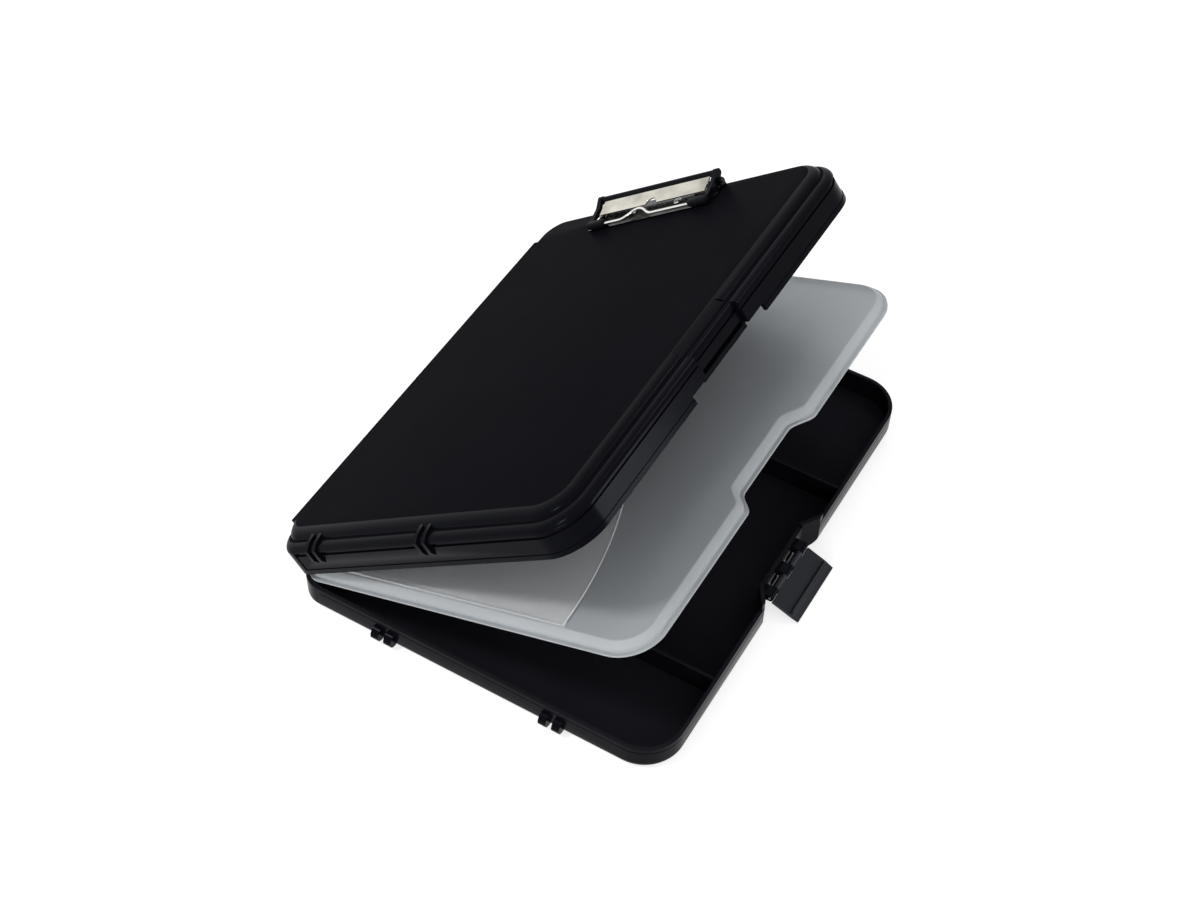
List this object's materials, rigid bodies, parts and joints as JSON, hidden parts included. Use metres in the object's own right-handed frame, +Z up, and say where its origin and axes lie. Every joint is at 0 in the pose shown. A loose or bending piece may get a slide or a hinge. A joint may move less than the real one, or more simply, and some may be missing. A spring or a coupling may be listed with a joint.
{
  "type": "storage clipboard box",
  "caption": "Hinged plastic storage clipboard with a divided tray, a translucent middle leaf with a film pocket, a writing lid with a spring clip, and a side latch.",
  "frame": {"origin": "centre of the bottom of the tray, on the table", "axes": "+Z up, +Y towards the clip edge, +X towards the latch, -X towards the hinge"},
  "size_m": [0.2987, 0.3448, 0.1978],
  "materials": {
    "shell": "satin moulded plastic, lightly textured on the flat board",
    "leaf": "frosted translucent moulded plastic",
    "film": "clear smooth plastic film",
    "pin_steel": "plain drawn steel",
    "clip_metal": "bright plated steel",
    "spring_steel": "plated spring wire",
    "clip_mirror": "polished plated sheet",
    "clip_black": "smooth black plastic",
    "grip_rubber": "soft black rubber"
  },
  "bodies": {
    "tray": {"tray_shell": "shell", "hinge_pin": "pin_steel", "latch_pin": "pin_steel"},
    "latch": {"latch_plate": "shell"},
    "leaf": {"leaf_panel": "leaf", "leaf_pocket": "film"},
    "lid": {"lid_shell": "shell", "clip_base_plate": "clip_metal", "clip_rod": "clip_metal", "clip_rivet_left": "clip_metal", "clip_rivet_right": "clip_metal", "clip_spring_left": "spring_steel", "clip_spring_right": "spring_steel"},
    "clip_jaw": {"clip_lever_plate": "clip_mirror", "clip_lever_bar": "clip_black", "clip_jaw_wire": "clip_metal", "clip_arm_left": "clip_black", "clip_arm_right": "clip_black", "clip_grip_left": "grip_rubber", "clip_grip_right": "grip_rubber"}
  },
  "joints": [
    {"name": "leaf_hinge", "type": "hinge", "parent": "tray", "child": "leaf", "pos_m": [-0.1315, 0, 0.021], "axis": [0, -1, 0], "range_deg": [-20, 36]},
    {"name": "lid_hinge", "type": "hinge", "parent": "leaf", "child": "lid", "pos_m": [-0.1315, 0, 0.021], "axis": [0, -1, 0], "range_deg": [-18, 62]},
    {"name": "latch_hinge", "type": "hinge", "parent": "tray", "child": "latch", "pos_m": [0.1276, 0, 0.0115], "axis": [0, -1, 0], "range_deg": [0, 112]},
    {"name": "clip_jaw_hinge", "type": "hinge", "parent": "lid", "child": "clip_jaw", "pos_m": [-0.06217, 0.163, 0.11336], "axis": [-0.788, 0, -0.6157], "range_deg": [0, 30]}
  ]
}
